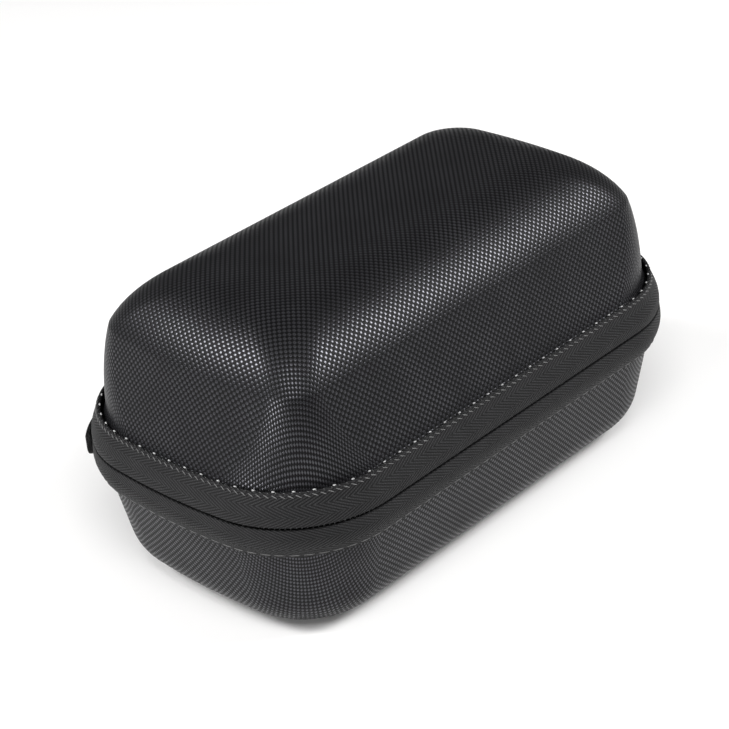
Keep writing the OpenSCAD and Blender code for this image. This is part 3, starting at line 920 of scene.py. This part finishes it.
# %% [markdown]
# ## Ballistic nylon
# The cover is a plain weave of thick flat yarns. Along one direction the yarns are bright and
# glossy, along the other they are dull, so a lit surface shows rows of staggered bright dots.
# Each cell of the weave is a small dome, long in the direction of the yarn that lies on top. A glossy
# yarn mirrors the lights as metal does, and that draws the bright bands along the shoulder.

# %% Cover fabric
YARN_PITCH = 0.8


def ballistic_nylon():
    finish = Finish("ballistic_nylon", Specular_IOR_Level=0.12)
    u, v = finish.cloth()
    a, b = u / YARN_PITCH, v / YARN_PITCH
    bright = (a.floor() + b.floor()) % 2
    fa, fb = a.fraction() - 0.5, b.fraction() - 0.5
    lengthwise = (1 - fa * fa * 4).at_least(0) * (1 - fb * fb * 2.6).at_least(0)
    crosswise = (1 - fb * fb * 4).at_least(0) * (1 - fa * fa * 2.6).at_least(0)
    on_top = lengthwise * bright
    under = crosswise * (1 - bright)
    spread = finish.noise(90)
    glossy = on_top * (0.5 + spread)
    finish.set(Base_Color=finish.blend(glossy, grey(0.0015, 1.3), grey(0.068, 1.1)), Metallic=on_top,
               Roughness=0.5 - on_top * 0.24)
    finish.raised(on_top + under * 0.7, 0.05)
    return finish.material


cover_finish = ballistic_nylon()

# %% [markdown]
# ## Herringbone tape
# The tapes are twill: fine ribs that slant one way in one lane and the other way in the next. The
# last lane is the corded edge, with coarser ribs.

# %% Tape fabric


def herringbone(name, lane, rib, dark, light):
    finish = Finish(name, Specular_IOR_Level=0.16)
    s, across = finish.cloth()
    side = ((across / lane).floor() % 2) * 2 - 1
    ribs = ((across + s * side * 0.47) / rib).wave()
    floats = (s / 0.62 + (across / rib).floor() * 0.5).wave()
    worn = finish.noise(260)
    lit = ribs * (0.55 + floats * 0.45)
    # Painted light and shade: the rib crests are painted lighter and the grooves between them painted
    # darker; the noise makes the crests lighter or darker at random.
    finish.set(Base_Color=finish.blend(lit * (0.5 + worn * 0.8), grey(dark), grey(light)),
               Roughness=0.66 - lit * 0.16)
    finish.raised(lit, 0.14)
    return finish.material


tape_finish = herringbone("herringbone_tape", 2.7, 0.71, 0.003, 0.026)
strip_finish = herringbone("ribbed_strip", 3.5, 0.9, 0.003, 0.016)

# %% [markdown]
# ## Foam, lining, nylon, metal and rubber
# The plainer finishes share the same tools: a grain from noise, a little colour change, and a bump.

# %% Plain finishes


def grainy(name, dark, light, grain, depth, roughness, detail=3.0, **shader):
    finish = Finish(name, **shader)
    pattern = finish.noise(grain, detail=detail)
    finish.set(Base_Color=finish.blend(pattern, grey(dark), grey(light)),
               Roughness=roughness + pattern * 0.12)
    finish.raised(pattern, depth)
    return finish.material


foam_finish = grainy("moulded_foam", 0.018, 0.05, 2600, 0.12, 0.8)
insert_finish = grainy("cut_foam", 0.02, 0.06, 1900, 0.18, 0.82)
lining_finish = grainy("brushed_knit", 0.016, 0.045, 3800, 0.10, 0.75, detail=5.0,
                       Sheen_Weight=0.35, Sheen_Roughness=0.5)
coil_finish = grainy("moulded_nylon", 0.010, 0.016, 900, 0.01, 0.32)
metal_finish = grainy("black_lacquer", 0.012, 0.020, 700, 0.006, 0.28, Metallic=0.35, Coat_Weight=0.4)
rubber_finish = grainy("grip_rubber", 0.012, 0.022, 1500, 0.02, 0.55)


def knitted_net():
    """Diamond holes between thin strands: the strands stay, the holes are see-through."""
    finish = Finish("knitted_net", Specular_IOR_Level=0.3, Roughness=0.7)
    u, v = finish.cloth()
    a, b = ((u + v) / 2.6).fraction() - 0.5, ((u - v) / 2.6).fraction() - 0.5
    strand = (a * a).at_least(b * b) * 4
    finish.set(Alpha=strand.sum("GREATER_THAN", strand, 0.42),
               Base_Color=finish.blend(finish.noise(900), grey(0.02), grey(0.06)))
    finish.raised(strand, 0.2)
    return finish.material


def ribbed_elastic():
    """Fine ribs along the band, crossed by a coarser ripple where it gathers."""
    finish = Finish("ribbed_elastic", Specular_IOR_Level=0.3)
    along, across = finish.cloth()
    ribs = (across / 0.6).wave()
    ripple = (along / 1.9 + finish.noise(120) * 0.7).wave()
    # Painted light and shade: the crests of the ribs and of the ripple are painted lighter and the troughs
    # between them painted darker.
    finish.set(Base_Color=finish.blend(ribs * 0.7 + ripple * 0.3, grey(0.012), grey(0.045)),
               Roughness=0.8 - ribs * 0.15)
    finish.raised(ribs * 0.6 + ripple, 0.12)
    return finish.material


net_finish = knitted_net()
elastic_finish = ribbed_elastic()


def twisted(name, dark, light):
    """Thread: fine plies that wind round it, from a wave on a slant."""
    finish = Finish(name, Specular_IOR_Level=0.5, Sheen_Weight=0.2)
    x, y, z = finish.parts(finish.place())
    plies = ((x + y + z * 1.7) / (0.32 * MM)).wave()
    # Painted light and shade: each ply's crest is painted lighter and the groove between plies painted
    # darker.
    finish.set(Base_Color=finish.blend(plies, grey(dark, 1.0), grey(light, 1.0)), Roughness=0.5)
    finish.raised(plies, 0.04)
    return finish.material


pale_thread = twisted("pale_thread", 0.30, 0.62)
wrap_thread = twisted("wrap_thread", 0.05, 0.17)
dark_thread = twisted("dark_thread", 0.03, 0.08)

# %% [markdown]
# ## Each piece gets its finish
# The covers share one fabric and the tapes another, as they are cut from the same rolls.

# %% Give the finishes out


def dress(piece, material):
    piece.data.materials.clear()
    piece.data.materials.append(material)


for piece, material in ((lid_skin, cover_finish), (base_skin, cover_finish), (lid_foam, foam_finish),
                        (base_foam, foam_finish), (lid_inside, lining_finish), (base_inside, lining_finish),
                        (lid_tape, tape_finish), (base_tape, tape_finish), (lid_binding, strip_finish),
                        (base_binding, strip_finish), (lid_coil, coil_finish), (base_coil, coil_finish),
                        (lid_stitches, pale_thread), (edge_wraps, wrap_thread), (base_stitches, dark_thread),
                        (back_stitches, dark_thread), (hinge_cloth, strip_finish),
                        (hinge_inner, lining_finish), (insert_block, insert_finish),
                        (facing, lining_finish), (net, net_finish),
                        (net_binding, strip_finish), (elastic, elastic_finish), (front_grip, rubber_finish),
                        (rear_grip, rubber_finish), *[(part, metal_finish) for part in metal_parts]):
    dress(piece, material)

# %% [markdown]
# ## Floor, lights and camera
# The case stands on pale paper that runs out of sight, with a very slight mottle.

# %% Floor
bpy.ops.object.select_all(action="DESELECT")
bpy.ops.mesh.primitive_plane_add(size=8, location=(0, 0, -0.0004))
floor = bpy.context.object
floor.name = "floor"
paper = Finish("floor_paper", Roughness=0.35, Specular_IOR_Level=0.3)
paper.set(Base_Color=paper.blend(paper.noise(3), (0.93, 0.925, 0.92, 1), (0.96, 0.955, 0.95, 1)))
dress(floor, paper.material)

# %% [markdown]
# ## Lights
# Four softboxes: one high behind the camera, one above each shoulder, to the right and to the left,
# and one low at the left end for the facet of the near corner.

# %% Lights


def softbox(name, azimuth, elevation, distance, size, power):
    """A square light aimed at the case. Azimuth 0 is +X and 90 is +Y."""
    a, e = math.radians(azimuth), math.radians(elevation)
    away = Vector((math.cos(a) * math.cos(e), math.sin(a) * math.cos(e), math.sin(e)))
    light = bpy.data.lights.new(name, "AREA")
    light.size = size
    light.energy = power
    lamp = bpy.data.objects.new(name, light)
    lamp.location = away * distance + Vector((0, 0, 0.03))
    lamp.rotation_mode = "QUATERNION"
    lamp.rotation_quaternion = away.to_track_quat("Z", "Y")
    bpy.context.scene.collection.objects.link(lamp)


softbox("overhead", -135, 54, 0.9, 0.4, 4.0)
softbox("right_box", -45, 37, 1.1, 0.4, 11.0)
softbox("left_box", 139, 39, 1.1, 0.35, 9.0)
softbox("corner_box", 183, 8, 1.1, 0.3, 6.0)

# %% [markdown]
# ## World
# The surroundings give a weak even light, and look white to the camera.

# %% World
world = bpy.data.worlds.new("studio")
world.use_nodes = True
sky = world.node_tree
ambient = sky.nodes["Background"]
ambient.inputs["Color"].default_value = (1, 1, 1, 1)
ambient.inputs["Strength"].default_value = 0.15
backdrop = sky.nodes.new("ShaderNodeBackground")
backdrop.inputs["Strength"].default_value = 1.0
seen = sky.nodes.new("ShaderNodeLightPath")
either = sky.nodes.new("ShaderNodeMixShader")
sky.links.new(seen.outputs["Is Camera Ray"], either.inputs[0])
sky.links.new(ambient.outputs[0], either.inputs[1])
sky.links.new(backdrop.outputs[0], either.inputs[2])
sky.links.new(either.outputs[0], sky.nodes["World Output"].inputs[0])
bpy.context.scene.world = world
bpy.context.scene.view_settings.view_transform = "Standard"

# %% [markdown]
# ## Camera
# A long lens, a little over half a metre away, looks down on the near corner.

# %% Camera
CAMERA_AT = (-0.3412, -0.3326, 0.3060)
LENS, SENSOR = 109.89, 36
BACKWARDS = Vector((-0.6153, -0.6129, 0.4958))
RIGHT = Vector((0.6734, -0.7356, -0.0736))
UPWARDS = Vector((0.4098, 0.2886, 0.8654))
lens = bpy.data.cameras.new("camera")
lens.sensor_width = SENSOR
lens.lens = LENS
lens.clip_start = 0.01
camera = bpy.data.objects.new("camera", lens)
camera.matrix_world = Matrix.Translation(CAMERA_AT) @ Matrix(
    (RIGHT, UPWARDS, BACKWARDS)).transposed().to_4x4()
bpy.context.scene.collection.objects.link(camera)
bpy.context.scene.camera = camera
